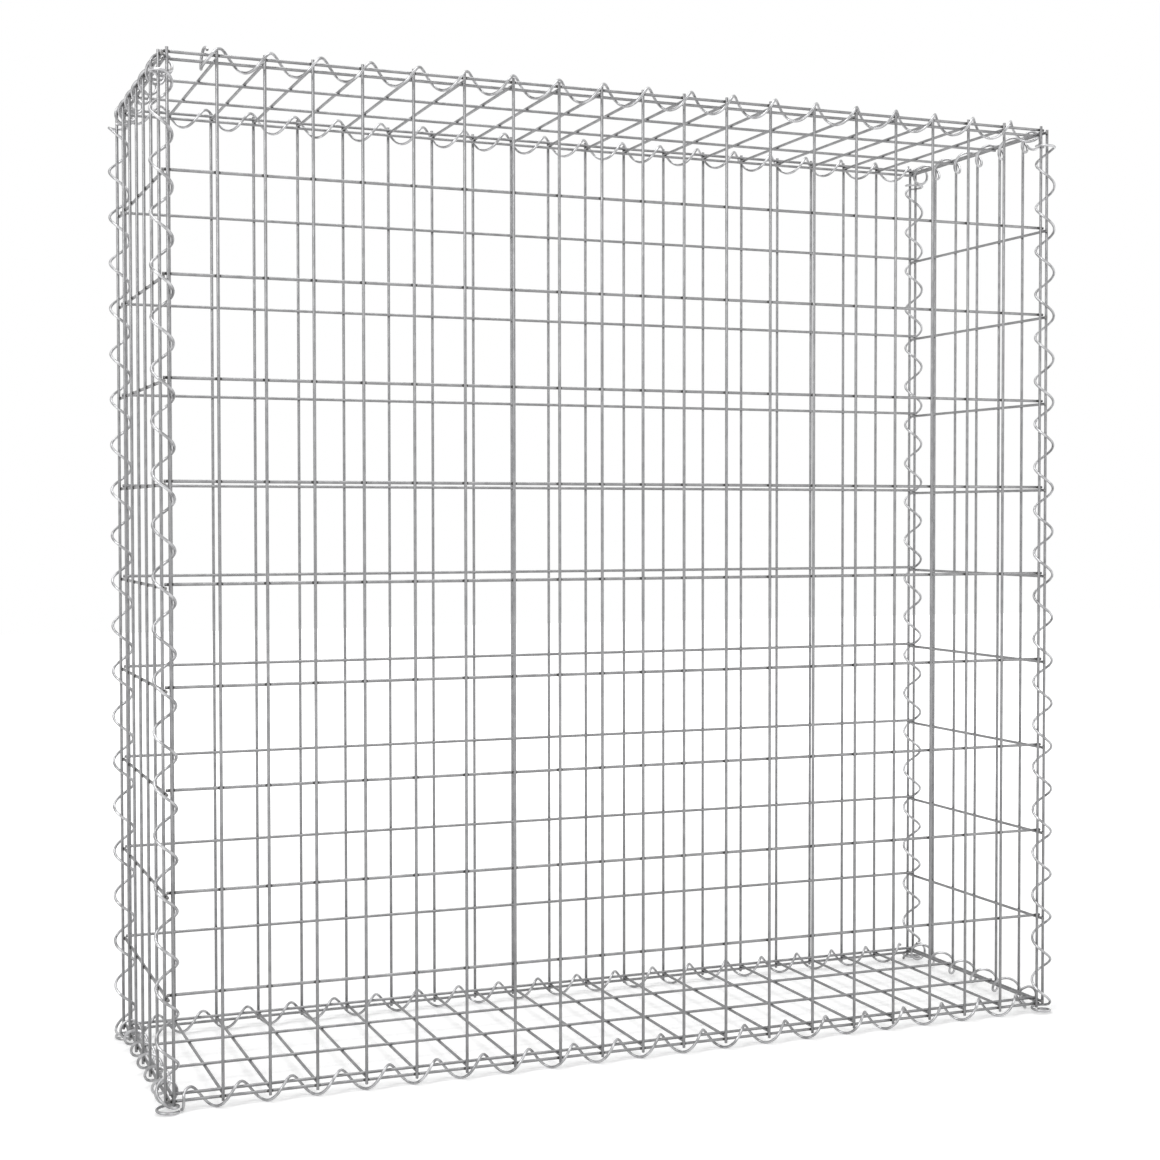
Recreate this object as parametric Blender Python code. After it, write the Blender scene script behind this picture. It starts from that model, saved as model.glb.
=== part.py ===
"""Gabion basket: a rock-fill box of six welded mesh panels, laced along its twelve edges.

Each panel is one welded piece. Its close wires lie on the outside of the basket and its cross wires on
the inside, and they are fused where they cross. Each binder is one wire wound into a long left-handed
spiral. It is screwed along an edge and wraps the edge wires of the two panels that meet there.
The front and back panels carry the base on their lowest wires and hold the lid under their highest ones.
The side panels' cross wires pass under those of the front and back, one wire lower.

Metres, +Z up. The origin is on the ground under the middle of the basket, whose front faces -Y.
"""

import math

import bmesh
import bpy
from mathutils import Matrix, Vector

# Overall size, between wire centres
LENGTH = 1.000
DEPTH = 0.300
FULL_ROWS = 8

# Welded mesh
CLOSE_PITCH = 0.050
CROSS_PITCH = 0.100
BOTTOM_ROW_EXTRA = 0.0045
TOP_ROW_EXTRA = 0.0130
WIRE = 0.0032
WELD_SINK = 0.0004
WIRE_SIDES = 5

# The mesh welder feeds its close wires a little early and late in turn, over about so many cells
FEED_DRIFT = 0.0045
FEED_CYCLE = 8.0
FEED_START = math.radians(22.5)

# Cut ends, and how the panels meet
UPRIGHT_TIP = 0.0040
SIDE_TIP = 0.0050
FLAT_TIP = 0.0045
SIDE_STANDOFF = 0.0040
CLEARANCE = 0.0003

# Spiral binders
SPIRAL_DIAMETER = 0.0240
SPIRAL_WIRE = 0.0030
SPIRAL_SIDES = 3
SPIRAL_STEPS = 5
INNER_ARC = math.radians(70.0)
SCREW_LEAD = 0.0011

# Finishes
MESH_GREY = (0.43, 0.43, 0.44, 1.0)
ZINC_GREY = (0.62, 0.62, 0.63, 1.0)

# What follows from them
LAYER = WIRE - WELD_SINK
STACK = WIRE + CLEARANCE
SPIRAL_MEAN = (SPIRAL_DIAMETER - SPIRAL_WIRE) / 2.0
SPIRAL_CORNER = 2.0 * SPIRAL_MEAN / (1.0 + math.cos(math.pi / SPIRAL_STEPS))
SPIRAL_BORE = SPIRAL_CORNER * math.cos(math.pi / SPIRAL_STEPS) - SPIRAL_WIRE / 2.0
SPIRAL_REACH = SPIRAL_CORNER + SPIRAL_WIRE / 2.0
SIDE_PLANE = LENGTH / 2.0 + SIDE_STANDOFF
SIDE_CROSS = SIDE_PLANE - LAYER
FLAT_HALF_DEPTH = DEPTH / 2.0 - WIRE / 2.0 - CLEARANCE
FLAT_HALF_LENGTH = SIDE_CROSS - WIRE / 2.0 - CLEARANCE
BOTTOM_ROW = CROSS_PITCH + BOTTOM_ROW_EXTRA
TOP_ROW = CROSS_PITCH + TOP_ROW_EXTRA
TOP_EDGE = BOTTOM_ROW + FULL_ROWS * CROSS_PITCH + TOP_ROW

X, Y, Z = Vector((1, 0, 0)), Vector((0, 1, 0)), Vector((0, 0, 1))


def clear_scene():
    """Remove whatever the file holds, so that only the basket is left."""
    for item in list(bpy.data.objects):
        bpy.data.objects.remove(item, do_unlink=True)


def finish(name, colour, roughness):
    """Make one metal finish."""
    material = bpy.data.materials.new(name)
    material.use_nodes = True
    shader = material.node_tree.nodes["Principled BSDF"]
    shader.inputs["Base Color"].default_value = colour
    shader.inputs["Metallic"].default_value = 1.0
    shader.inputs["Roughness"].default_value = roughness
    material.diffuse_color = colour
    return material


def even_lines(span, pitch):
    """Places across a span, centred on zero, at the whole number of steps nearest to the pitch."""
    cells = max(1, round(span / pitch))
    return [span * k / cells - span / 2.0 for k in range(cells + 1)]


def drifted_lines(span, pitch):
    """Even places with the welder's slow drift added.

    The drift makes an odd number of half swings, so both edge wires stand in by the same amount.
    """
    places = even_lines(span, pitch)
    cells = len(places) - 1
    half_swings = 1 + 2 * round(cells / FEED_CYCLE - 0.5)
    return [place + FEED_DRIFT * math.cos(FEED_START + math.pi * half_swings * k / cells)
            for k, place in enumerate(places)]


def front_rows():
    """Heights of the front and back panels' cross wires, from their lowest one."""
    return [0.0] + [BOTTOM_ROW + CROSS_PITCH * k for k in range(FULL_ROWS + 1)] + [TOP_EDGE]


def side_rows():
    """Heights of the side panels' cross wires: one wire under the front's, and within its two edges."""
    inner = [height - STACK for height in front_rows()[1:-1]]
    return [STACK] + inner + [TOP_EDGE - STACK]


CLOSE_LINES_X = drifted_lines(LENGTH, CLOSE_PITCH)
CLOSE_LINES_Y = even_lines(DEPTH, CLOSE_PITCH)
FLAT_CROSS_LINES = even_lines(2.0 * (FLAT_HALF_DEPTH - FLAT_TIP), CROSS_PITCH)


def add_wire(mesh, start, end, ridge):
    """Add a straight wire as a closed prism whose sharp edge faces the ridge direction."""
    along = (end - start).normalized()
    frame = Matrix((ridge.cross(along), ridge, along)).transposed().to_4x4()
    frame.translation = start
    ring = bmesh.ops.create_circle(mesh, cap_ends=True, segments=WIRE_SIDES, radius=WIRE / 2.0, matrix=frame)
    cap = ring["verts"][0].link_faces[0]
    grown = bmesh.ops.extrude_face_region(mesh, geom=[cap])["geom"]
    far_ring = [item for item in grown if isinstance(item, bmesh.types.BMVert)]
    bmesh.ops.translate(mesh, verts=far_ring, vec=end - start)


def wire_object(name, wires, ridge, centre, material):
    """Make one object that holds parallel wires, each given by its two ends."""
    mesh = bmesh.new()
    for start, end in wires:
        add_wire(mesh, start - centre, end - centre, ridge)
    return object_from(mesh, name, centre, material)


def object_from(mesh, name, centre, material):
    """Turn a bmesh into a smooth-shaded object of its own, placed at its centre."""
    bmesh.ops.recalc_face_normals(mesh, faces=mesh.faces)
    data = bpy.data.meshes.new(name)
    mesh.to_mesh(data)
    mesh.free()
    data.materials.append(material)
    data.shade_smooth()
    data.set_sharp_from_angle(angle=math.radians(80.0))
    item = bpy.data.objects.new(name, data)
    item.location = centre
    bpy.context.collection.objects.link(item)
    return item


def welded_panel(name, outward, centre, close_wires, cross_wires, material):
    """Fuse the close wires on the outside with the cross wires on the inside into one panel."""
    panel = wire_object(name, close_wires, -outward, centre, material)
    cross = wire_object(name + "_cross_wires", cross_wires, outward, centre, material)
    cross.hide_render = True
    cross.hide_set(True)
    cross.display_type = "WIRE"
    weld = panel.modifiers.new("weld", "BOOLEAN")
    weld.operation = "UNION"
    weld.solver = "EXACT"
    weld.object = cross
    return [panel, cross]


def long_panel(name, side, material):
    """Make the front or the back: uprights outside, long wires inside."""
    outward = side * Y
    plane = side * DEPTH / 2.0
    inner = side * (DEPTH / 2.0 - LAYER)
    uprights = [(Vector((x, plane, -UPRIGHT_TIP)), Vector((x, plane, TOP_EDGE + UPRIGHT_TIP)))
                for x in CLOSE_LINES_X]
    rows = [(Vector((-SIDE_CROSS, inner, z)), Vector((SIDE_CROSS, inner, z))) for z in front_rows()]
    return welded_panel(name, outward, Vector((0, plane, TOP_EDGE / 2.0)), uprights, rows, material)


def side_panel(name, side, material):
    """Make an end of the basket: uprights outside, short wires inside."""
    outward = side * X
    rows = side_rows()
    low = rows[0] - UPRIGHT_TIP
    high = rows[-1] + UPRIGHT_TIP
    half = DEPTH / 2.0 + SIDE_TIP
    uprights = [(Vector((side * SIDE_PLANE, y, low)), Vector((side * SIDE_PLANE, y, high)))
                for y in CLOSE_LINES_Y]
    cross = [(Vector((side * SIDE_CROSS, -half, z)), Vector((side * SIDE_CROSS, half, z))) for z in rows]
    return welded_panel(name, outward, Vector((side * SIDE_PLANE, 0, TOP_EDGE / 2.0)), uprights, cross, material)


def flat_panel(name, side, material):
    """Make the lid or the base: short wires outside, long wires inside."""
    outward = side * Z
    edge = TOP_EDGE if side > 0 else 0.0
    outer = edge - side * STACK
    inner = outer - side * LAYER
    short = [(Vector((x, -FLAT_HALF_DEPTH, outer)), Vector((x, FLAT_HALF_DEPTH, outer))) for x in CLOSE_LINES_X]
    long = [(Vector((-FLAT_HALF_LENGTH, y, inner)), Vector((FLAT_HALF_LENGTH, y, inner)))
            for y in FLAT_CROSS_LINES]
    return welded_panel(name, outward, Vector((0, 0, outer)), short, long, material)


def seat_depth(offset):
    """Distance from a spiral's axis, along the wires' direction, at which cut ends just fit its bore."""
    bore = SPIRAL_BORE - CLEARANCE
    return math.sqrt(max(0.0, bore * bore - offset * offset))


def add_spiral(name, centre, along, inward, mid_cell, pitch, low, high, material):
    """Wind a left-handed spiral about an edge.

    It passes the inward direction halfway between two close wires, so each turn takes one cell and its
    strand never meets a wire. Its facets' corners are counted from there, between low and high.
    """
    rise = pitch / SPIRAL_STEPS
    first = math.ceil((low - mid_cell) / rise - 1e-6)
    last = math.floor((high - mid_cell) / rise + 1e-6)
    start = mid_cell + first * rise
    turn = -math.tau * first / SPIRAL_STEPS
    sideways = along.cross(inward)
    radial = inward * math.cos(turn) + sideways * math.sin(turn)
    around = along.cross(radial)
    tangent = (along * pitch - around * math.tau * SPIRAL_CORNER).normalized()
    frame = Matrix((tangent.cross(radial), -radial, tangent)).transposed().to_4x4()
    frame.translation = radial * SPIRAL_CORNER + along * start
    mesh = bmesh.new()
    ring = bmesh.ops.create_circle(
        mesh, cap_ends=True, segments=SPIRAL_SIDES, radius=SPIRAL_WIRE / 2.0, matrix=frame)
    steps = last - first
    bmesh.ops.spin(mesh, geom=[ring["verts"][0].link_faces[0]], cent=(0, 0, 0), axis=along,
                   dvec=along * rise, angle=-math.tau * steps / SPIRAL_STEPS, steps=steps)
    return object_from(mesh, name, centre, material)


def flat_edge_drop(panel_plane, edge_line):
    """Place of a spiral's axis at a lid or base edge: across it, and its depth under the uprights' tips."""
    across = (panel_plane + edge_line) / 2.0
    return across, seat_depth(panel_plane + WIRE / 2.0 - across)


def long_edge_spiral(name, side, level, material):
    """Lace the front or back panel to the lid or base, along X."""
    across, drop = flat_edge_drop(DEPTH / 2.0, FLAT_CROSS_LINES[-1])
    tips = TOP_EDGE + UPRIGHT_TIP if level > 0 else -UPRIGHT_TIP
    centre = Vector((0, side * across, tips - level * drop))
    inward = Vector((0, -side, -level)).normalized()
    side_axis = flat_edge_drop(SIDE_PLANE, CLOSE_LINES_X[-1])[0]
    reach = side_axis - SPIRAL_REACH - SPIRAL_WIRE / 2.0 - CLEARANCE
    pitch = LENGTH / round(LENGTH / CLOSE_PITCH)
    return add_spiral(name, centre, X, inward, (pitch - LENGTH) / 2.0, pitch, -reach, reach, material)


def short_edge_spiral(name, side, level, material):
    """Lace a side panel to the lid or base, along Y.

    It is screwed a little past mid-cell, so that its strands pass beyond the uprights' cut ends and
    nothing overhangs the panel's outer faces.
    """
    across, drop = flat_edge_drop(SIDE_PLANE, CLOSE_LINES_X[-1])
    edge = side_rows()[-1] + UPRIGHT_TIP if level > 0 else side_rows()[0] - UPRIGHT_TIP
    centre = Vector((side * across, 0, edge - level * drop))
    inward = Vector((-side, 0, -level)).normalized()
    reach = DEPTH / 2.0 - SPIRAL_REACH - SPIRAL_WIRE / 2.0 - CLEARANCE
    pitch = DEPTH / round(DEPTH / CLOSE_PITCH)
    mid_cell = (pitch - DEPTH) / 2.0 - side * level * SCREW_LEAD
    return add_spiral(name, centre, Y, inward, mid_cell, pitch, -reach, reach, material)


def corner_spiral(name, side, face, material):
    """Lace a side panel to the front or back panel, along Z, hugging the latter's last upright."""
    last_upright = CLOSE_LINES_X[-1] if side > 0 else CLOSE_LINES_X[0]
    hug = SPIRAL_BORE - WIRE / 2.0 - CLEARANCE
    centre = Vector((last_upright + side * hug, face * DEPTH / 2.0, 0))
    inward = Vector((-side, -face, 0)).normalized()
    pitch = CROSS_PITCH / 2.0
    mid_cell = BOTTOM_ROW + pitch / 2.0
    low, high = corner_span(mid_cell, pitch)
    return add_spiral(name, centre, Z, inward, mid_cell, pitch, low, high, material)


def corner_span(mid_cell, pitch):
    """Where a corner spiral starts and ends.

    Its strand crosses the inside of the corner once a turn. The lowest and highest crossings stay clear
    of the base's and the lid's wires, and the strand runs on round the outside until the next one.
    """
    crossing = pitch * INNER_ARC / math.tau
    wires = STACK + LAYER + WIRE / 2.0
    room = crossing + SPIRAL_WIRE
    first = mid_cell + pitch * math.ceil((wires + room - mid_cell) / pitch)
    last = mid_cell + pitch * math.floor((TOP_EDGE - wires - room - mid_cell) / pitch)
    drop = flat_edge_drop(DEPTH / 2.0, FLAT_CROSS_LINES[-1])[1]
    ground = drop - UPRIGHT_TIP - SPIRAL_REACH
    return max(first - pitch + crossing, ground + SPIRAL_WIRE), last + pitch - crossing


def build():
    """Make the basket and stand it on the ground."""
    clear_scene()
    mesh_finish = finish("galvanised_mesh", MESH_GREY, 0.45)
    zinc_finish = finish("galvanised_spiral", ZINC_GREY, 0.35)
    panels = []
    for name, side in (("front_panel", -1), ("back_panel", 1)):
        panels += long_panel(name, side, mesh_finish)
    for name, side in (("left_panel", -1), ("right_panel", 1)):
        panels += side_panel(name, side, mesh_finish)
    for name, side in (("base_panel", -1), ("lid_panel", 1)):
        panels += flat_panel(name, side, mesh_finish)
    spirals = []
    for level_name, level in (("bottom", -1), ("top", 1)):
        for name, side in (("front", -1), ("back", 1)):
            spirals.append(long_edge_spiral(f"spiral_{level_name}_{name}", side, level, zinc_finish))
        for name, side in (("left", -1), ("right", 1)):
            spirals.append(short_edge_spiral(f"spiral_{level_name}_{name}", side, level, zinc_finish))
    for face_name, face in (("front", -1), ("back", 1)):
        for name, side in (("left", -1), ("right", 1)):
            spirals.append(corner_spiral(f"spiral_{face_name}_{name}", side, face, zinc_finish))
    stand_on_ground(panels, spirals)


def stand_on_ground(panels, spirals):
    """Hang every piece from one empty and lift it until the lowest spirals touch the ground."""
    basket = bpy.data.objects.new("basket", None)
    bpy.context.collection.objects.link(basket)
    for item in panels + spirals:
        item.parent = basket
    lowest = min(item.location.z + vertex.co.z for item in spirals for vertex in item.data.vertices)
    basket.location.z = -lowest
    bpy.context.view_layer.update()


build()
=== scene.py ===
"""Gabion basket: drawn round mesh wires, their welds and the wound spiral binders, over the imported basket.

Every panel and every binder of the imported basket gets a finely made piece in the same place.
Metres, +Z up. The origin is on the ground under the middle of the basket, whose front faces -Y.
"""

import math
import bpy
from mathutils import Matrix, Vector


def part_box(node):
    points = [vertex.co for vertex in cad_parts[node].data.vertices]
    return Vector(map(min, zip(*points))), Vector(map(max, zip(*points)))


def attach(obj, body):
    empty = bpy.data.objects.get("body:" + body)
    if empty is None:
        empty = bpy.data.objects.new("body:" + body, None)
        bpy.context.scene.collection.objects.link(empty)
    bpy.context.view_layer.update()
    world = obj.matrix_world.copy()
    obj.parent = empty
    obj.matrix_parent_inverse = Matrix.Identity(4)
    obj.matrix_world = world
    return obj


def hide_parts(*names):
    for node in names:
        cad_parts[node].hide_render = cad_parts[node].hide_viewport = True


bl_info = {
    "name": "Gabion Basket",
    "version": (1, 0, 0),
    "blender": (4, 5, 0),
    "location": "3D View > Sidebar > Gabion",
    "description": "Builds a welded mesh rock basket with spiral binders, its finishes and its stage",
    "category": "Object",
}

import bmesh
import bpy
from bpy.props import FloatProperty, FloatVectorProperty, IntProperty, PointerProperty
from mathutils import Matrix, Vector

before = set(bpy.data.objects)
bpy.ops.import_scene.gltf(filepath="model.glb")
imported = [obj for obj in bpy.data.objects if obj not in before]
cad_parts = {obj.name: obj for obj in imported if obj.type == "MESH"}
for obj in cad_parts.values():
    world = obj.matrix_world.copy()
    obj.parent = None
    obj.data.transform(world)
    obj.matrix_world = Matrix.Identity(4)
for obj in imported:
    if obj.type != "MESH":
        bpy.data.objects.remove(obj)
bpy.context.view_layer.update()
X, Y, Z = Vector((1, 0, 0)), Vector((0, 1, 0)), Vector((0, 0, 1))
FRONT_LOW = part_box("front_panel")[0]

# The finishes of a welded panel and of a binder, in the order of their material slots. The weld's finish is
# burnt zinc with painted contact shade.
MESH_FINISHES = ("galvanised_mesh_wire", "weld_scorch_and_shade", "cut_steel")
BINDER_FINISHES = ("galvanised_binder_wire", "cut_steel")

# Facets round a straight wire, round a binder's wire, across a sheared rim, and of a weld's drop.
ROD_SIDES = 12
BINDER_SIDES = 10
BURR_STEPS = 2
WELD_SIDES, WELD_RINGS = 8, 6
SMOOTH_UP_TO = math.radians(50.0)

# Half a weld drop's thickness in wire diameters, and how far it lies towards the cross wire.
WELD_HEIGHT = 0.56
WELD_DROP = 0.0003

# The bends between a closed end and the open spiral: turns, and share of the full pitch.
CLOSED_BENDS = ((0.034, 0.15), (0.033, 0.45), (0.033, 0.75))
FOOT_BENDS = ((0.05, 0.24), (0.05, 0.52), (0.05, 0.80))
HEAD_BENDS = ((0.05, 0.70), (0.05, 0.40))

# Turns at the binders' ends: closed ones, and open ones between these and the full cells.
LONG_CLOSED, LONG_OPEN, LONG_LAST = 0.33, 1.20, 0.26
BENT_BACK, BENT_OPEN = 0.70, 0.72
SHORT_CLOSED = 0.80
FOOT_OPEN, HEAD_OPEN, HEAD_CLOSED = 0.58, 0.30, 0.80

# Scale and detail of the patterns in the zinc, what they run between, and how much of the grain shows.
CLOUDS, STREAKS, GRAIN = (95.0, 5.0), (120.0, 2.0), (900.0, 2.0)
PATCH_EDGES = (0.36, 0.64)
STREAK_EDGES = (0.3, 0.7)
GRAIN_STRENGTH = 0.12

# The lighter patches of the welds' burnt zinc and painted contact shade, and the cut steel's darker ones, as
# shares of their colours.
SCORCH_AND_SHADE_PATCH = 2.4
STEEL_PATCH = 0.6

# The floor's clouds, how dark they get, and the distances between which its lift grows.
FLOOR_CLOUDS = (3.0, 2.0)
FLOOR_SHADE = 0.99
FADE_REACH = (0.6, 2.4)

# Each lamp's place and the side of its square, and the point that all of them look at.
KEY_LAMP = ((-2.6, -2.0, 2.4), 1.2)
TOP_LAMP = ((0.0, 0.0, 5.0), 3.0)
FILL_LAMP = ((3.0, -1.8, 1.6), 1.8)
LAMP_AIM = (0.0, 0.0, 0.5)

# The camera's sensor in millimetres, and how far it sees in metres.
SENSOR_WIDTH = 36.0
SIGHT = 60.0


def length(name, description, default):
    """A size in metres that the user can change."""
    return FloatProperty(name=name, description=description, default=default, min=0.0, precision=4,
                         unit="LENGTH", subtype="DISTANCE")


def colour(name, description, grey):
    """A finish colour that the user can change."""
    return FloatVectorProperty(name=name, description=description, default=grey, min=0.0, max=1.0,
                               size=3, subtype="COLOR")


def share(name, description, default):
    """A value between nothing and all."""
    return FloatProperty(name=name, description=description, default=default, min=0.0, max=1.0,
                         subtype="FACTOR")


def watts(name, description, default):
    """A lamp's power."""
    return FloatProperty(name=name, description=description, default=default, min=0.0, unit="POWER")


class BasketSizes(bpy.types.PropertyGroup):
    """Sizes of the six welded panels."""

    length: length("Length", "Between the side panels' nominal planes", 1.000)
    depth: length("Depth", "Between the front and back panels' uprights", 0.300)
    full_rows: IntProperty(name="Full rows", description="Rows of full height between the two end rows",
                           default=8, min=1)
    close_pitch: length("Close pitch", "Distance from one close wire to the next", 0.050)
    cross_pitch: length("Cross pitch", "Distance from one cross wire to the next", 0.100)
    bottom_row_extra: length("Bottom row extra", "What the lowest row has over a full one", 0.0045)
    top_row_extra: length("Top row extra", "What the highest row has over a full one", 0.0130)
    wire: length("Mesh wire", "Diameter of the mesh wire", 0.0032)
    weld_sink: length("Weld sink", "How far crossing wires are pressed into each other", 0.0004)
    # The weld's dark patch is burnt metal and painted contact shade; these give how far it runs along each
    # wire.
    weld_reach: length("Weld reach", "How far the burnt metal of a weld runs along the cross wire", 0.0038)
    weld_width: length("Weld width", "How far the burnt metal of a weld runs along the close wire", 0.0018)
    # The lid's and base's welds show a smaller patch of burnt metal and painted contact shade.
    flat_burn_and_shade: share("Lid and base burn", "Share of the burnt patch that shows on the lid and base", 0.55)
    feed_drift: length("Feed drift", "How far the close wires stray from an even pitch", 0.0045)
    feed_cycle: FloatProperty(name="Feed cycle", description="Cells over which the drift comes and goes",
                              default=8.0, min=1.0)
    feed_start: FloatProperty(name="Feed start", description="Where in its swing the drift starts",
                              default=math.radians(22.5), subtype="ANGLE")
    upright_tip: length("Upright tip", "Cut end of an upright past the last cross wire", 0.0040)
    side_tip: length("Side tip", "Cut end of a side panel's cross wire past its corner upright", 0.0050)
    flat_tip: length("Flat tip", "Cut end of a lid or base wire past its last cross wire", 0.0045)
    side_standoff: length("Side standoff", "Side panels stand out from the nominal length by this", 0.0040)
    clearance: length("Clearance", "Between wires that only lie on each other", 0.0003)
    burr: length("Burr", "Rounded edge of a sheared wire end", 0.0004)


class BinderSizes(bpy.types.PropertyGroup):
    """Sizes of the twelve spiral binders."""

    diameter: length("Diameter", "Outside diameter of the wound spiral", 0.0240)
    wire: length("Binder wire", "Diameter of the spiral's wire", 0.0030)
    corner_reach: length("Corner reach", "Corner spiral's axis past the panel's last upright", 0.0060)
    long_inset: length("Long edge inset", "Axis of a long edge's spiral inside the front or back", 0.0032)
    long_level: length("Long edge level", "Axis of a long edge's spiral inside the end row's wire", 0.0016)
    short_inset: length("Short edge inset", "Axis of a short edge's spiral inside the side panel", 0.0041)
    short_level: length("Short edge level", "Axis of a short edge's spiral inside the side's edge wire",
                        0.0010)
    long_hang: length("Long edge hang", "How much lower the lid's long spirals hang on their wires", 0.0022)
    long_pull: length("Long edge pull", "How much further outside the lid's long spirals hang", 0.0008)
    short_hang: length("Short edge hang", "How much lower the lid's short spirals hang on their wires",
                       0.0045)
    short_pull: length("Short edge pull", "How much further inside the lid's short spirals hang", 0.0025)
    screw_lead: length("Screw lead", "Short spirals are screwed past mid-cell by this", 0.0011)
    floor_pitch: length("Floor pitch", "Rise of a corner binder's lowest turn, which stands on the ground",
                        0.0050)
    closed_pitch: length("Closed pitch", "Pitch of the closed turn at a spiral's end", 0.0033)
    back_bend: length("Back bend", "What the end turn of a long spiral comes back on itself", 0.0070)
    steps: IntProperty(name="Steps", description="Facets in one turn of a spiral", default=30, min=8)


class BasketFinishes(bpy.types.PropertyGroup):
    """Colours and surface of the galvanised wires."""

    mesh_dull: colour("Mesh, dull", "Weathered patches of the mesh wires' zinc", (0.245, 0.245, 0.25))
    mesh_bright: colour("Mesh, bright", "Clean patches of the mesh wires' zinc", (0.315, 0.315, 0.32))
    binder_dull: colour("Binder, dull", "Dull patches of the spirals' zinc", (0.275, 0.275, 0.28))
    binder_bright: colour("Binder, bright", "Bright patches of the spirals' zinc", (0.56, 0.56, 0.57))
    # The welds' near-black colour is burnt zinc and painted contact shade where the wires cross.
    scorch_and_shade: colour("Weld scorch", "Burnt zinc round a weld", (0.040, 0.039, 0.038))
    cut_steel: colour("Cut steel", "Bare steel of a sheared end", (0.32, 0.315, 0.31))
    mesh_roughness: share("Mesh roughness", "How dull the mesh wires are", 0.42)
    binder_roughness: share("Binder roughness", "How dull the spirals are", 0.33)


class StageSettings(bpy.types.PropertyGroup):
    """Camera, lamps and floor."""

    lens: FloatProperty(name="Lens", description="Focal length in mm on a 36 mm sensor", default=60.78)
    place: FloatVectorProperty(name="Camera place", description="Where the camera stands", size=3,
                               default=(-0.7928, -2.0788, 0.5804), subtype="TRANSLATION", unit="LENGTH")
    turn: FloatProperty(name="Turn", description="How far the camera looks to the right of the depth axis",
                        default=math.radians(22.84), subtype="ANGLE")
    dip: FloatProperty(name="Dip", description="How far the camera looks down",
                       default=math.radians(1.58), subtype="ANGLE")
    shift: FloatVectorProperty(name="Shift", description="Shift of the picture, in picture widths", size=2,
                               default=(-0.0703, -0.0078))
    floor_size: length("Floor size", "Half the side of the floor", 8.0)
    floor_tone: colour("Floor tone", "Colour of the floor", (0.86, 0.86, 0.86))
    floor_lift: share("Floor lift", "What takes the lit floor up to the white background", 0.36)
    floor_fade: share("Floor fade", "What is added to that far out, where the lamps are weaker", 0.60)
    sky: share("Sky", "Strength of the even light from all round", 0.36)
    key_power: watts("Key lamp", "Power of the lamp on the left", 46.0)
    top_power: watts("Top lamp", "Power of the wide lamp overhead", 110.0)
    fill_power: watts("Fill lamp", "Power of the lamp on the right", 16.0)


def even_lines(span, pitch):
    """Places across a span, centred on zero, at the whole number of steps nearest to the pitch."""
    cells = max(1, round(span / pitch))
    return [span * k / cells - span / 2.0 for k in range(cells + 1)]


def close_lines(sizes):
    """Places of the long panels' close wires: even, with the welder's slow drift added."""
    places = even_lines(sizes.length, sizes.close_pitch)
    cells = len(places) - 1
    half_swings = 1 + 2 * round(cells / sizes.feed_cycle - 0.5)
    return [place + sizes.feed_drift * math.cos(sizes.feed_start + math.pi * half_swings * k / cells)
            for k, place in enumerate(places)]


def flat_cross_lines(sizes):
    """Places of the lid's and base's long wires across the depth."""
    half = sizes.depth / 2.0 - sizes.wire / 2.0 - sizes.clearance - sizes.flat_tip
    return even_lines(2.0 * half, sizes.cross_pitch)


def layer(sizes):
    """Distance between the axes of two wires that are welded where they cross."""
    return sizes.wire - sizes.weld_sink


def stack(sizes):
    """Distance between the axes of two wires that only lie on each other."""
    return sizes.wire + sizes.clearance


def bottom_edge(sizes):
    """Height of the front panel's lowest cross wire, as packed."""
    return FRONT_LOW.z + sizes.upright_tip


def front_rows(sizes):
    """Heights of the front and back panels' cross wires."""
    first = bottom_edge(sizes)
    second = first + sizes.cross_pitch + sizes.bottom_row_extra
    rows = [first] + [second + sizes.cross_pitch * k for k in range(sizes.full_rows + 1)]
    return rows + [rows[-1] + sizes.cross_pitch + sizes.top_row_extra]


def side_rows(sizes):
    """Heights of the side panels' cross wires: one wire under the front's, and within its two edges."""
    rows = front_rows(sizes)
    return [rows[0] + stack(sizes)] + [z - stack(sizes) for z in rows[1:]]


def side_plane(sizes):
    """Place of the side panels' uprights along the length."""
    return sizes.length / 2.0 + sizes.side_standoff


def noise(nodes, links, coordinates, pattern):
    """A cloudy value, fixed to the object, of the given scale and detail."""
    node = nodes.new("ShaderNodeTexNoise")
    node.inputs["Scale"].default_value, node.inputs["Detail"].default_value = pattern
    links.new(coordinates.outputs["Object"], node.inputs["Vector"])
    return node.outputs["Fac"]


def two_tones(nodes, links, value, edges, dull, bright):
    """Turn a value into a colour between a dull and a bright one."""
    ramp = nodes.new("ShaderNodeValToRGB")
    for stop, place, tone in zip(ramp.color_ramp.elements, edges, (dull, bright)):
        stop.position = place
        stop.color = (*tone, 1.0)
    links.new(value, ramp.inputs["Fac"])
    return ramp.outputs["Color"]


def stretched(nodes, links, value, edges, results):
    """Bring a value from between the edges to between the results."""
    node = nodes.new("ShaderNodeMapRange")
    node.inputs["From Min"].default_value, node.inputs["From Max"].default_value = edges
    node.inputs["To Min"].default_value, node.inputs["To Max"].default_value = results
    links.new(value, node.inputs["Value"])
    return node.outputs["Result"]


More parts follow.
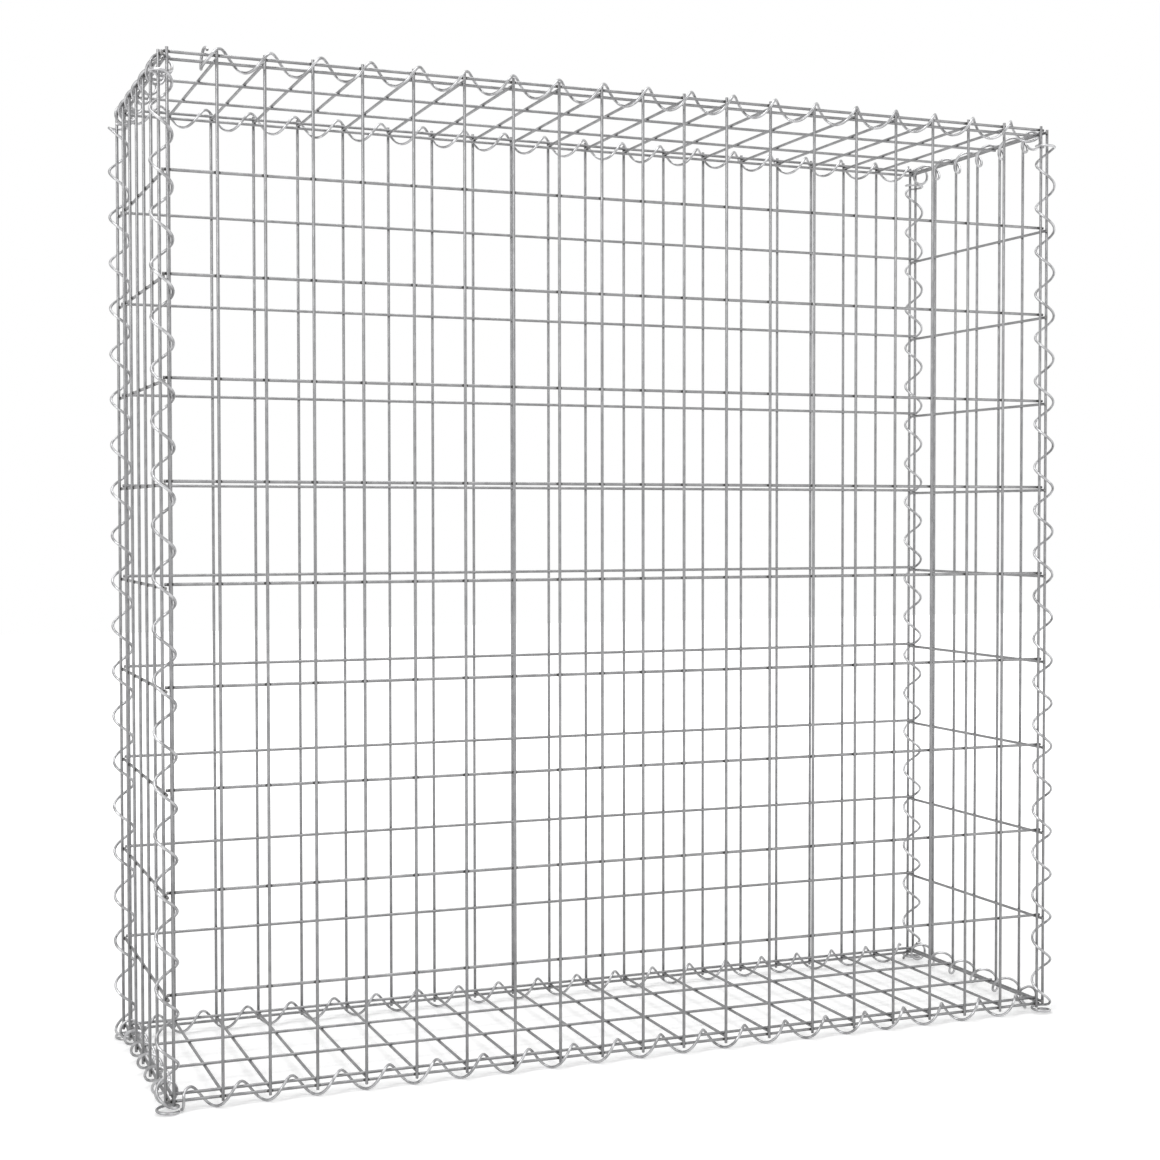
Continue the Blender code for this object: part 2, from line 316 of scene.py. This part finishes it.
def metal(name, dull, bright, roughness, spread, metallic, grain_depth):
    """A zinc or steel finish: cloudy colour, uneven gloss and a fine grain."""
    material = bpy.data.materials.new(name)
    material.use_nodes = True
    nodes, links = material.node_tree.nodes, material.node_tree.links
    shader = nodes["Principled BSDF"]
    coordinates = nodes.new("ShaderNodeTexCoord")
    clouds = noise(nodes, links, coordinates, CLOUDS)
    links.new(two_tones(nodes, links, clouds, PATCH_EDGES, dull, bright), shader.inputs["Base Color"])
    streaks = noise(nodes, links, coordinates, STREAKS)
    gloss = stretched(nodes, links, streaks, STREAK_EDGES, (roughness - spread, roughness + spread))
    links.new(gloss, shader.inputs["Roughness"])
    bump = nodes.new("ShaderNodeBump")
    bump.inputs["Strength"].default_value = GRAIN_STRENGTH
    bump.inputs["Distance"].default_value = grain_depth
    links.new(noise(nodes, links, coordinates, GRAIN), bump.inputs["Height"])
    links.new(bump.outputs["Normal"], shader.inputs["Normal"])
    shader.inputs["Metallic"].default_value = metallic
    material.diffuse_color = (*bright, 1.0)
    return material


def finish_named(name):
    """One of the basket's finishes, made when it is first asked for."""
    if name in bpy.data.materials:
        return bpy.data.materials[name]
    looks = bpy.context.scene.gabion_finishes
    if name == "galvanised_mesh_wire":
        return metal(name, looks.mesh_dull, looks.mesh_bright, looks.mesh_roughness, spread=0.05,
                     metallic=0.80, grain_depth=0.00010)
    if name == "galvanised_binder_wire":
        return metal(name, looks.binder_dull, looks.binder_bright, looks.binder_roughness, spread=0.04,
                     metallic=0.90, grain_depth=0.00004)
    # The weld finish: burnt zinc with painted contact shade round each crossing.
    if name == "weld_scorch_and_shade":
        patch = [SCORCH_AND_SHADE_PATCH * tone for tone in looks.scorch_and_shade]
        return metal(name, looks.scorch_and_shade, patch, roughness=0.62, spread=0.12,
                     metallic=0.50, grain_depth=0.0004)
    patch = [STEEL_PATCH * tone for tone in looks.cut_steel]
    return metal(name, patch, looks.cut_steel, roughness=0.50, spread=0.10,
                 metallic=0.90, grain_depth=0.0002)


def ring_frame(centre, radial, along):
    """Orientation of a wire's round section: along the wire, with a corner at the radial direction."""
    matrix = Matrix((along.cross(radial), -radial, along)).transposed().to_4x4()
    matrix.translation = centre
    return matrix


def dress_ends(mesh, caps, burr, slot):
    """Round the rims of sheared ends and give their faces the cut steel's slot."""
    rims = {edge for cap in caps for edge in cap.edges}
    for cap in caps:
        cap.material_index = slot
    bmesh.ops.bevel(mesh, geom=list(rims), offset=burr, offset_type="OFFSET", segments=BURR_STEPS,
                    profile=0.5, affect="EDGES", material=-1)


def rod_shape(reach, diameter, burr):
    """Draw one straight wire from the origin, with its two sheared ends."""
    mesh = bmesh.new()
    along = reach.normalized()
    radial = Z if abs(along.z) < 0.5 else X
    section = bmesh.ops.create_circle(mesh, cap_ends=True, segments=ROD_SIDES, radius=diameter / 2.0,
                                      matrix=ring_frame(Vector(), radial, along))
    near = section["verts"][0].link_faces[0]
    grown = bmesh.ops.extrude_face_region(mesh, geom=[near])["geom"]
    far_ring = [item for item in grown if isinstance(item, bmesh.types.BMVert)]
    far = [item for item in grown if isinstance(item, bmesh.types.BMFace)][0]
    bmesh.ops.translate(mesh, verts=far_ring, vec=reach)
    caps = [face for face in (near, far) if face.is_valid]
    dress_ends(mesh, caps, burr, MESH_FINISHES.index("cut_steel"))
    return shape_from(mesh)


def weld_shape(close, cross, normal, burn_and_shade, sizes):
    """Squeeze out the small flat drop of burnt metal that joins two crossing wires; its dark finish is also
    painted contact shade in the corners of the crossing.
    """
    mesh = bmesh.new()
    drop = Matrix((cross * burn_and_shade * sizes.weld_reach, close * burn_and_shade * sizes.weld_width,
                   normal * burn_and_shade * sizes.wire * WELD_HEIGHT))
    bmesh.ops.create_uvsphere(mesh, u_segments=WELD_SIDES, v_segments=WELD_RINGS, radius=1.0,
                              matrix=drop.transposed().to_4x4())
    for face in mesh.faces:
        face.material_index = MESH_FINISHES.index("weld_scorch_and_shade")
    return shape_from(mesh)


def shape_from(mesh):
    """Turn a bmesh into a shape that can be laid out many times."""
    shape = bpy.data.meshes.new("shape")
    mesh.to_mesh(shape)
    mesh.free()
    return shape


def lay_out(mesh, shape, places):
    """Add a copy of the shape at every place."""
    for place in places:
        copy = shape.copy()
        copy.transform(Matrix.Translation(place))
        mesh.from_mesh(copy)
        bpy.data.meshes.remove(copy)
    bpy.data.meshes.remove(shape)


def piece_from(mesh, name, node, finishes):
    """Make the bmesh a piece that stands for a node and takes its finish from the slot."""
    bmesh.ops.recalc_face_normals(mesh, faces=mesh.faces)
    data = bpy.data.meshes.new(name)
    mesh.to_mesh(data)
    mesh.free()
    if not data.polygons:
        raise RuntimeError(f"{name} came out empty")
    for finish in finishes:
        data.materials.append(finish_named(finish))
    data.shade_smooth()
    data.set_sharp_from_angle(angle=SMOOTH_UP_TO)
    piece = bpy.data.objects.new(name, data)
    bpy.context.scene.collection.objects.link(piece)
    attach(piece, "root")
    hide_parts(node)
    return piece


def weld_panel(name, node, close, cross, burn_and_shade, sizes):
    """Lay the close wires over the cross wires and weld every crossing.

    close and cross each hold the places where their wires start, and the reach of one wire.
    The last argument is the share of the full dark weld patch, burnt metal with painted contact shade, that
    the panel's welds show.
    """
    close_starts, close_reach = close
    cross_starts, cross_reach = cross
    mesh = bmesh.new()
    lay_out(mesh, rod_shape(close_reach, sizes.wire, sizes.burr), close_starts)
    lay_out(mesh, rod_shape(cross_reach, sizes.wire, sizes.burr), cross_starts)
    along, across = close_reach.normalized(), cross_reach.normalized()
    normal = along.cross(across)
    level = (close_starts[0].dot(normal) + cross_starts[0].dot(normal)) / 2.0
    level += math.copysign(WELD_DROP, cross_starts[0].dot(normal) - level)
    welds = [along * row.dot(along) + across * upright.dot(across) + normal * level
             for upright in close_starts for row in cross_starts]
    lay_out(mesh, weld_shape(along, across, normal, burn_and_shade, sizes), welds)
    return piece_from(mesh, name, node, MESH_FINISHES)


def long_panel(name, node, side, sizes):
    """The front or the back: uprights outside, long wires inside."""
    plane = side * sizes.depth / 2.0
    inner = side * (sizes.depth / 2.0 - layer(sizes))
    rows = front_rows(sizes)
    low, high = rows[0] - sizes.upright_tip, rows[-1] + sizes.upright_tip
    end = side_plane(sizes) - layer(sizes)
    uprights = ([Vector((x, plane, low)) for x in close_lines(sizes)], Z * (high - low))
    cross = ([Vector((-end, inner, z)) for z in rows], X * 2.0 * end)
    return weld_panel(name, node, uprights, cross, 1.0, sizes)


def side_panel(name, node, side, sizes):
    """An end of the basket: uprights outside, short wires inside."""
    plane = side * side_plane(sizes)
    inner = side * (side_plane(sizes) - layer(sizes))
    rows = side_rows(sizes)
    low, high = rows[0] - sizes.upright_tip, rows[-1] + sizes.upright_tip
    end = sizes.depth / 2.0 + sizes.side_tip
    uprights = ([Vector((plane, y, low)) for y in even_lines(sizes.depth, sizes.close_pitch)],
                Z * (high - low))
    cross = ([Vector((inner, -end, z)) for z in rows], Y * 2.0 * end)
    return weld_panel(name, node, uprights, cross, 1.0, sizes)


def flat_panel(name, node, side, sizes):
    """The lid or the base: short wires outside, long wires inside."""
    rows = front_rows(sizes)
    outer = (rows[-1] if side > 0 else rows[0]) - side * stack(sizes)
    inner = outer - side * layer(sizes)
    half = sizes.depth / 2.0 - sizes.wire / 2.0 - sizes.clearance
    end = side_plane(sizes) - layer(sizes) - sizes.wire / 2.0 - sizes.clearance
    short = ([Vector((x, -half, outer)) for x in close_lines(sizes)], Y * 2.0 * half)
    cross = ([Vector((-end, y, inner)) for y in flat_cross_lines(sizes)], X * 2.0 * end)
    return weld_panel(name, node, short, cross, sizes.flat_burn_and_shade, sizes)


def wire_direction(along, radial, pitch, radius):
    """Direction in which a left-handed spiral's wire runs."""
    around = along.cross(radial)
    return (along * pitch - around * math.tau * radius).normalized()


def wind_binder(name, node, axis, crossing, lead_in, full, lead_out, binder, burr):
    """Wind a left-handed spiral about an edge.

    axis holds a point on it, its direction and the inward direction, which the wire passes at the
    crossing and then once a turn. full is the (turns, pitch) from that crossing on, and lead_in and
    lead_out are lists of the same before and after it.
    """
    centre, along, inward = axis
    radius = (binder.diameter - binder.wire) / 2.0
    stretches = lead_in + [full] + lead_out
    if min(turns for turns, rise in stretches) <= 0.0:
        raise ValueError(f"{name} has no room for its turns along its edge")
    before = sum(turns for turns, rise in lead_in)
    start = crossing - sum(turns * rise for turns, rise in lead_in)
    sideways = along.cross(inward)
    axis_point = centre + along * start
    angle = math.tau * before
    radial = inward * math.cos(angle) + sideways * math.sin(angle)
    heading = wire_direction(along, radial, stretches[0][1], radius)
    mesh = bmesh.new()
    section = bmesh.ops.create_circle(mesh, cap_ends=True, segments=BINDER_SIDES, radius=binder.wire / 2.0,
                                      matrix=ring_frame(axis_point + radial * radius, radial, heading))
    first = last = section["verts"][0].link_faces[0]
    for turns, rise in stretches:
        steps = max(1, round(turns * binder.steps))
        wanted = wire_direction(along, radial, rise, radius)
        aim = heading.rotation_difference(wanted).to_matrix()
        bmesh.ops.rotate(mesh, verts=last.verts, cent=last.calc_center_median(), matrix=aim)
        wound = bmesh.ops.spin(mesh, geom=[last], cent=centre, axis=along, steps=steps,
                               dvec=along * rise * turns / steps, angle=-math.tau * turns)["geom_last"]
        last = [item for item in wound if isinstance(item, bmesh.types.BMFace)][0]
        spun = Matrix.Rotation(-math.tau * turns, 3, along)
        radial, heading = spun @ radial, spun @ wanted
    dress_ends(mesh, [first, last], burr, BINDER_FINISHES.index("cut_steel"))
    return piece_from(mesh, name, node, BINDER_FINISHES)


def bends(shares, pitch):
    """The stretches in which the pitch changes between a closed end and the open spiral."""
    return [(turns, rise * pitch) for turns, rise in shares]


def closed_end(turns, rise, pitch):
    """The closed turns that keep a binder from unscrewing, and the bends that lead into the spiral."""
    return [(turns, rise)] + bends(CLOSED_BENDS, pitch)


def long_binder(name, node, side, level, sizes, binder):
    """Lace the front or back panel to the lid or base.

    All but the top front one are screwed right out to the left corner. That one begins half a cell
    further in, with an end turn that is bent back.
    """
    rows = front_rows(sizes)
    height = rows[-1] - binder.long_level - binder.long_hang if level > 0 else rows[0] + binder.long_level
    inset = binder.long_inset - binder.long_pull if level > 0 else binder.long_inset
    centre = Vector((0.0, side * (sizes.depth / 2.0 - inset), height))
    inward = Vector((0, -side, -level)).normalized()
    pitch = sizes.close_pitch
    turns = round(sizes.length / pitch) - 2
    second_cell = 1.5 * pitch - sizes.length / 2.0
    lead_in = closed_end(LONG_CLOSED, binder.closed_pitch, pitch) + [(LONG_OPEN, pitch)]
    if side < 0 < level:
        lead_in = closed_end(BENT_BACK, -binder.back_bend, pitch) + [(BENT_OPEN, pitch)]
    return wind_binder(name, node, (centre, X, inward), second_cell, lead_in, (turns, pitch),
                       [(LONG_LAST, pitch)], binder, sizes.burr)


def short_binder(name, node, side, level, sizes, binder):
    """Lace a side panel to the lid or base."""
    rows = side_rows(sizes)
    inset, height = binder.short_inset, rows[0] + binder.short_level
    inward = Vector((-side, 0, 1)).normalized()
    if level > 0:
        inset, height = inset + binder.short_pull, rows[-1] - binder.short_level - binder.short_hang
        inward = X * -side
    centre = Vector((side * (side_plane(sizes) - inset), 0.0, height))
    pitch = sizes.close_pitch
    turns = round(sizes.depth / pitch) - 1
    first = -turns * pitch / 2.0 - side * level * binder.screw_lead
    end = closed_end(SHORT_CLOSED, binder.closed_pitch, pitch)
    return wind_binder(name, node, (centre, Y, inward), first, end, (turns, pitch), end[::-1], binder,
                       sizes.burr)


def corner_binder(name, node, side, face, sizes, binder):
    """Lace a side panel to the front or back panel, hugging the latter's last upright.

    It makes two turns for each row. Its lower end stands on the ground and rises slowly round the
    uprights' tips, and its upper end is closed under the lid.
    """
    lines = close_lines(sizes)
    last_upright = lines[-1] if side > 0 else lines[0]
    centre = Vector((last_upright + side * binder.corner_reach, face * sizes.depth / 2.0, 0.0))
    inward = Vector((-side, -face, 0)).normalized()
    rows = front_rows(sizes)
    pitch = sizes.cross_pitch / 2.0
    first = rows[1] - 1.5 * pitch
    turns = int((rows[-1] - first) / pitch)
    rising = bends(FOOT_BENDS, pitch) + [(FOOT_OPEN, pitch)]
    risen = sum(turn * rise for turn, rise in rising)
    floor_turns = (first - risen - binder.wire / 2.0) / binder.floor_pitch
    lead_in = [(floor_turns, binder.floor_pitch)] + rising
    lead_out = [(HEAD_OPEN, pitch)] + bends(HEAD_BENDS, pitch) + [(HEAD_CLOSED, binder.closed_pitch)]
    return wind_binder(name, node, (centre, Z, inward), first, lead_in, (turns, pitch), lead_out, binder,
                       sizes.burr)


class GABION_OT_long_panels(bpy.types.Operator):
    """Weld the front and back panels"""

    bl_idname = "gabion.long_panels"
    bl_label = "Front and back panels"

    def execute(self, context):
        sizes = context.scene.gabion_sizes
        long_panel("front_mesh", "front_panel", -1, sizes)
        long_panel("back_mesh", "back_panel", 1, sizes)
        return {"FINISHED"}


class GABION_OT_side_panels(bpy.types.Operator):
    """Weld the left and right panels"""

    bl_idname = "gabion.side_panels"
    bl_label = "Side panels"

    def execute(self, context):
        sizes = context.scene.gabion_sizes
        side_panel("left_mesh", "left_panel", -1, sizes)
        side_panel("right_mesh", "right_panel", 1, sizes)
        return {"FINISHED"}


class GABION_OT_lid_and_base(bpy.types.Operator):
    """Weld the lid and the base"""

    bl_idname = "gabion.lid_and_base"
    bl_label = "Lid and base"

    def execute(self, context):
        sizes = context.scene.gabion_sizes
        flat_panel("base_mesh", "base_panel", -1, sizes)
        flat_panel("lid_mesh", "lid_panel", 1, sizes)
        return {"FINISHED"}


class GABION_OT_long_binders(bpy.types.Operator):
    """Wind the binders along the four long edges"""

    bl_idname = "gabion.long_binders"
    bl_label = "Long edge binders"

    def execute(self, context):
        sizes, binder = context.scene.gabion_sizes, context.scene.gabion_binders
        for level_name, level in (("bottom", -1), ("top", 1)):
            for name, side in (("front", -1), ("back", 1)):
                long_binder(f"{level_name}_{name}_binder", f"spiral_{level_name}_{name}", side, level,
                            sizes, binder)
        return {"FINISHED"}


class GABION_OT_short_binders(bpy.types.Operator):
    """Wind the binders along the four short edges"""

    bl_idname = "gabion.short_binders"
    bl_label = "Short edge binders"

    def execute(self, context):
        sizes, binder = context.scene.gabion_sizes, context.scene.gabion_binders
        for level_name, level in (("bottom", -1), ("top", 1)):
            for name, side in (("left", -1), ("right", 1)):
                short_binder(f"{level_name}_{name}_binder", f"spiral_{level_name}_{name}", side, level,
                             sizes, binder)
        return {"FINISHED"}


class GABION_OT_corner_binders(bpy.types.Operator):
    """Wind the binders in the four upright corners"""

    bl_idname = "gabion.corner_binders"
    bl_label = "Corner binders"

    def execute(self, context):
        sizes, binder = context.scene.gabion_sizes, context.scene.gabion_binders
        for face_name, face in (("front", -1), ("back", 1)):
            for name, side in (("left", -1), ("right", 1)):
                corner_binder(f"{face_name}_{name}_binder", f"spiral_{face_name}_{name}", side, face,
                              sizes, binder)
        return {"FINISHED"}


def seen_white(nodes, links):
    """One for what the camera, a gloss or a glass sees, and nought for light that falls on a surface."""
    path = nodes.new("ShaderNodeLightPath")
    camera_or_gloss = nodes.new("ShaderNodeMath")
    camera_or_gloss.operation = "MAXIMUM"
    links.new(path.outputs["Is Camera Ray"], camera_or_gloss.inputs[0])
    links.new(path.outputs["Is Glossy Ray"], camera_or_gloss.inputs[1])
    seen = nodes.new("ShaderNodeMath")
    seen.operation = "MAXIMUM"
    links.new(camera_or_gloss.outputs[0], seen.inputs[0])
    links.new(path.outputs["Is Transmission Ray"], seen.inputs[1])
    return seen.outputs[0]


def white_surround(settings):
    """A white world to look at, which lights the basket at a plain level."""
    world = bpy.data.worlds.new("white_surround")
    world.use_nodes = True
    nodes, links = world.node_tree.nodes, world.node_tree.links
    background = nodes["Background"]
    background.inputs["Color"].default_value = (1.0, 1.0, 1.0, 1.0)
    level = stretched(nodes, links, seen_white(nodes, links), (0.0, 1.0), (settings.sky, 1.0))
    links.new(level, background.inputs["Strength"])
    bpy.context.scene.world = world


def floor_finish(settings):
    """A pale floor that keeps the basket's shadow, and is lifted to white where it is fully lit."""
    material = bpy.data.materials.new("pale_floor")
    material.use_nodes = True
    nodes, links = material.node_tree.nodes, material.node_tree.links
    shader = nodes["Principled BSDF"]
    coordinates = nodes.new("ShaderNodeTexCoord")
    clouds = noise(nodes, links, coordinates, FLOOR_CLOUDS)
    shade = [FLOOR_SHADE * value for value in settings.floor_tone]
    tone = two_tones(nodes, links, clouds, (0.0, 1.0), shade, settings.floor_tone)
    links.new(tone, shader.inputs["Base Color"])
    shader.inputs["Roughness"].default_value = 0.95
    shader.inputs["Specular IOR Level"].default_value = 0.0
    shader.inputs["Emission Color"].default_value = (1.0, 1.0, 1.0, 1.0)
    away = nodes.new("ShaderNodeVectorMath")
    away.operation = "LENGTH"
    links.new(coordinates.outputs["Object"], away.inputs[0])
    fade = stretched(nodes, links, away.outputs["Value"], FADE_REACH,
                     (settings.floor_lift, settings.floor_lift + settings.floor_fade))
    lift = nodes.new("ShaderNodeMath")
    lift.operation = "MULTIPLY"
    links.new(seen_white(nodes, links), lift.inputs[0])
    links.new(fade, lift.inputs[1])
    links.new(lift.outputs[0], shader.inputs["Emission Strength"])
    return material


def lamp(name, stand, power):
    """Hang a soft square lamp of the given place and size, which looks at the basket."""
    place, size = stand
    light = bpy.data.lights.new(name, "AREA")
    light.size = size
    light.energy = power
    item = bpy.data.objects.new(name, light)
    item.location = place
    item.rotation_euler = (Vector(LAMP_AIM) - Vector(place)).to_track_quat("-Z", "Y").to_euler()
    bpy.context.scene.collection.objects.link(item)


def lay_floor(settings):
    """Lay the floor that the basket stands on."""
    mesh = bmesh.new()
    bmesh.ops.create_grid(mesh, x_segments=1, y_segments=1, size=settings.floor_size)
    data = bpy.data.meshes.new("floor")
    mesh.to_mesh(data)
    mesh.free()
    data.materials.append(floor_finish(settings))
    floor = bpy.data.objects.new("floor", data)
    bpy.context.scene.collection.objects.link(floor)


def set_camera(settings):
    """Stand the camera in front of the basket's left end, at the photograph's angle."""
    camera = bpy.data.cameras.new("camera")
    camera.sensor_width = SENSOR_WIDTH
    camera.lens = settings.lens
    camera.shift_x, camera.shift_y = settings.shift
    camera.clip_end = SIGHT
    item = bpy.data.objects.new("camera", camera)
    item.location = settings.place
    item.rotation_euler = (math.pi / 2.0 - settings.dip, 0.0, -settings.turn)
    bpy.context.scene.collection.objects.link(item)
    bpy.context.scene.camera = item


class GABION_OT_stage(bpy.types.Operator):
    """Set up the floor, the lamps and the camera"""

    bl_idname = "gabion.stage"
    bl_label = "Stage"

    def execute(self, context):
        settings = context.scene.gabion_stage
        lay_floor(settings)
        white_surround(settings)
        lamp("key_lamp", KEY_LAMP, settings.key_power)
        lamp("top_lamp", TOP_LAMP, settings.top_power)
        lamp("fill_lamp", FILL_LAMP, settings.fill_power)
        set_camera(settings)
        context.scene.view_settings.view_transform = "Standard"
        return {"FINISHED"}


class GABION_PT_basket(bpy.types.Panel):
    """Lists the basket's pieces and sizes"""

    bl_idname = "GABION_PT_basket"
    bl_label = "Gabion basket"
    bl_space_type = "VIEW_3D"
    bl_region_type = "UI"
    bl_category = "Gabion"

    def draw(self, context):
        for operator in PIECES:
            self.layout.operator(operator.bl_idname)
        for group in (context.scene.gabion_sizes, context.scene.gabion_binders,
                      context.scene.gabion_finishes, context.scene.gabion_stage):
            box = self.layout.box()
            for name in group.bl_rna.properties.keys():
                if name not in ("rna_type", "name"):
                    box.prop(group, name)


PIECES = (GABION_OT_long_panels, GABION_OT_side_panels, GABION_OT_lid_and_base, GABION_OT_long_binders,
          GABION_OT_short_binders, GABION_OT_corner_binders, GABION_OT_stage)
GROUPS = {"gabion_sizes": BasketSizes, "gabion_binders": BinderSizes, "gabion_finishes": BasketFinishes,
          "gabion_stage": StageSettings}


def register():
    """Register the sizes, the operators and the panel."""
    for name, group in GROUPS.items():
        bpy.utils.register_class(group)
        setattr(bpy.types.Scene, name, PointerProperty(type=group))
    for item in PIECES + (GABION_PT_basket,):
        bpy.utils.register_class(item)


def unregister():
    """Take everything out again."""
    for item in (GABION_PT_basket,) + PIECES[::-1]:
        bpy.utils.unregister_class(item)
    for name, group in GROUPS.items():
        delattr(bpy.types.Scene, name)
        bpy.utils.unregister_class(group)


def main():
    """Build the whole basket and its stage."""
    register()
    bpy.ops.gabion.long_panels()
    bpy.ops.gabion.side_panels()
    bpy.ops.gabion.lid_and_base()
    bpy.ops.gabion.long_binders()
    bpy.ops.gabion.short_binders()
    bpy.ops.gabion.corner_binders()
    bpy.ops.gabion.stage()


if __name__ == "__main__":
    main()
